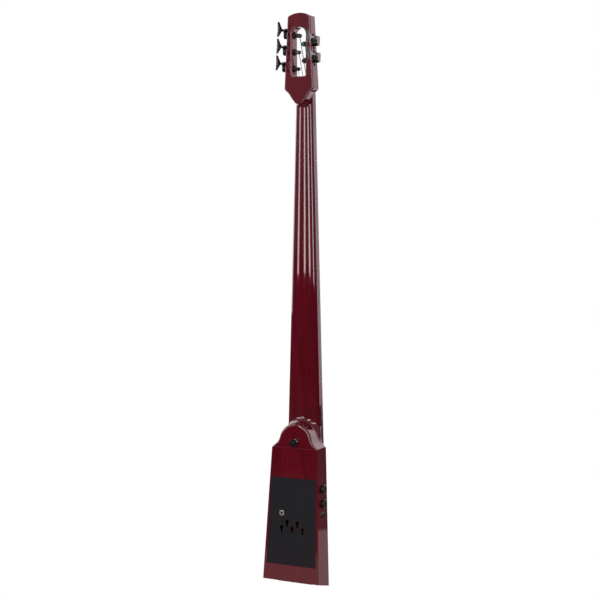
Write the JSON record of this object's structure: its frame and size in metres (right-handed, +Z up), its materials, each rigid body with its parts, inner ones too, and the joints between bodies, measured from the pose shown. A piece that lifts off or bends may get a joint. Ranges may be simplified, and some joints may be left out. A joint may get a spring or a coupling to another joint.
{
  "type": "electric upright bass",
  "caption": "Stick-shaped electric upright bass: wedge body with rear cover and side controls, long fretless neck, slotted headstock with worm-gear tuners.",
  "frame": {"origin": "bottom centre of the bounding box: on the centre line of the instrument, at the height of the body's lowest front edge, 22.7 mm behind the glue plane between neck and fingerboard", "axes": "+Z up along the neck, -Y towards the strings, +Y towards the back, +X towards the treble strings"},
  "size_m": [0.1511, 0.1196, 1.37],
  "materials": {
    "lacquered_wood": "high gloss translucent burgundy lacquer over wood with a faint grain",
    "fingerboard": "dark close-grained wood, satin, oiled",
    "dots": "pale moulded dots, polished flush",
    "nut": "dark moulded nut, satin",
    "bridge_wood": "plain pale maple, thin satin finish",
    "cover": "fine satin black plate with a faint texture",
    "black_hardware": "gloss black plated hardware with bright worn edges",
    "dark_plate": "satin black steel plate",
    "bright_insert": "bright turned metal",
    "steel_parts": "plain machined steel",
    "brass_parts": "machined brass",
    "string_metal": "flat wound steel string",
    "knob": "gloss black moulded knob, fluted rim",
    "cable": "soft insulated wire",
    "piezo": "thin brass disc pads"
  },
  "bodies": {
    "frame": {"body": "lacquered_wood", "neck": "lacquered_wood", "fingerboard": "fingerboard", "position_dots": "dots", "nut": "nut", "truss_rod": "steel_parts", "rear_cover": "cover", "cover_screws": "black_hardware", "stand_insert": "bright_insert", "strap_button": "black_hardware", "strap_button_screw": "black_hardware", "tail_plate": "dark_plate", "tail_plate_screws": "black_hardware", "ball_ends": "brass_parts", "string_g": "string_metal", "string_d": "string_metal", "string_a": "string_metal", "string_e": "string_metal", "string_b": "string_metal", "piezo_pads": "piezo", "bridge_foot": "bridge_wood", "volume_pot": "steel_parts", "tone_pot": "steel_parts", "output_jack": "black_hardware", "jack_nut": "black_hardware", "wiring": "cable", "tuner_housings": "black_hardware", "tuner_plates": "black_hardware", "tuner_screws": "black_hardware", "tuner_bushings": "dark_plate"},
    "bridge": {"bridge": "bridge_wood"},
    "adjuster_bass": {"adjuster_bass": "brass_parts"},
    "adjuster_treble": {"adjuster_treble": "brass_parts"},
    "volume_knob": {"volume_knob": "knob", "volume_shaft": "steel_parts"},
    "tone_knob": {"tone_knob": "knob", "tone_shaft": "steel_parts"},
    "key_1": {"key_1": "black_hardware", "worm_1": "steel_parts"},
    "post_1": {"post_1": "black_hardware", "gear_1": "brass_parts"},
    "key_2": {"key_2": "black_hardware", "worm_2": "steel_parts"},
    "post_2": {"post_2": "black_hardware", "gear_2": "brass_parts"},
    "key_3": {"key_3": "black_hardware", "worm_3": "steel_parts"},
    "post_3": {"post_3": "black_hardware", "gear_3": "brass_parts"},
    "key_4": {"key_4": "black_hardware", "worm_4": "steel_parts"},
    "post_4": {"post_4": "black_hardware", "gear_4": "brass_parts"},
    "key_5": {"key_5": "black_hardware", "worm_5": "steel_parts"},
    "post_5": {"post_5": "black_hardware", "gear_5": "brass_parts"}
  },
  "joints": [
    {"name": "key_1_turn", "type": "hinge", "parent": "frame", "child": "key_1", "pos_m": [0.0377, 0.0008, 1.32942], "axis": [0, 1, 0], "continuous": true},
    {"name": "post_1_turn", "type": "hinge", "parent": "frame", "child": "post_1", "pos_m": [0.03184, 0.0008, 1.319], "axis": [0.9986, 0, 0.052], "continuous": true},
    {"name": "key_2_turn", "type": "hinge", "parent": "frame", "child": "key_2", "pos_m": [0.03973, 0.0008, 1.29042], "axis": [0, 1, 0], "continuous": true},
    {"name": "post_2_turn", "type": "hinge", "parent": "frame", "child": "post_2", "pos_m": [0.03387, 0.0008, 1.28], "axis": [0.9986, 0, 0.052], "continuous": true},
    {"name": "key_3_turn", "type": "hinge", "parent": "frame", "child": "key_3", "pos_m": [0.04176, 0.0008, 1.25142], "axis": [0, 1, 0], "continuous": true},
    {"name": "post_3_turn", "type": "hinge", "parent": "frame", "child": "post_3", "pos_m": [0.0359, 0.0008, 1.241], "axis": [0.9986, 0, 0.052], "continuous": true},
    {"name": "key_4_turn", "type": "hinge", "parent": "frame", "child": "key_4", "pos_m": [-0.03875, 0.0008, 1.30942], "axis": [0, 1, 0], "continuous": true},
    {"name": "post_4_turn", "type": "hinge", "parent": "frame", "child": "post_4", "pos_m": [-0.03288, 0.0008, 1.299], "axis": [-0.9986, 0, 0.052], "continuous": true},
    {"name": "key_5_turn", "type": "hinge", "parent": "frame", "child": "key_5", "pos_m": [-0.04077, 0.0008, 1.27042], "axis": [0, 1, 0], "continuous": true},
    {"name": "post_5_turn", "type": "hinge", "parent": "frame", "child": "post_5", "pos_m": [-0.03491, 0.0008, 1.26], "axis": [-0.9986, 0, 0.052], "continuous": true},
    {"name": "volume_turn", "type": "hinge", "parent": "frame", "child": "volume_knob", "pos_m": [-0.06498, 0.02071, 0.238], "axis": [-0.9991, 0, 0.0433], "range_deg": [-150, 150]},
    {"name": "tone_turn", "type": "hinge", "parent": "frame", "child": "tone_knob", "pos_m": [-0.06648, 0.02253, 0.2035], "axis": [-0.9991, 0, 0.0433], "range_deg": [-150, 150]},
    {"name": "adjuster_bass_turn", "type": "hinge", "parent": "frame", "child": "adjuster_bass", "pos_m": [-0.027, -0.00356, 0.14], "axis": [0, -0.9993, -0.0382], "range_deg": [0, 1440]},
    {"name": "adjuster_treble_turn", "type": "hinge", "parent": "frame", "child": "adjuster_treble", "pos_m": [0.027, -0.00356, 0.14], "axis": [0, -0.9993, -0.0382], "range_deg": [0, 1440]},
    {"name": "bridge_height", "type": "slide", "parent": "frame", "child": "bridge", "axis": [0, 0.9993, 0.0382], "range_m": [0, 0.004]}
  ],
  "couplings": [
    {"joint": "post_1_turn", "follows": "key_1_turn", "ratio": 0.05},
    {"joint": "post_2_turn", "follows": "key_2_turn", "ratio": 0.05},
    {"joint": "post_3_turn", "follows": "key_3_turn", "ratio": 0.05},
    {"joint": "post_4_turn", "follows": "key_4_turn", "ratio": 0.05},
    {"joint": "post_5_turn", "follows": "key_5_turn", "ratio": 0.05},
    {"joint": "adjuster_treble_turn", "follows": "bridge_height", "rad_per_m": 6283.2},
    {"joint": "adjuster_bass_turn", "follows": "bridge_height", "rad_per_m": 6283.2}
  ]
}
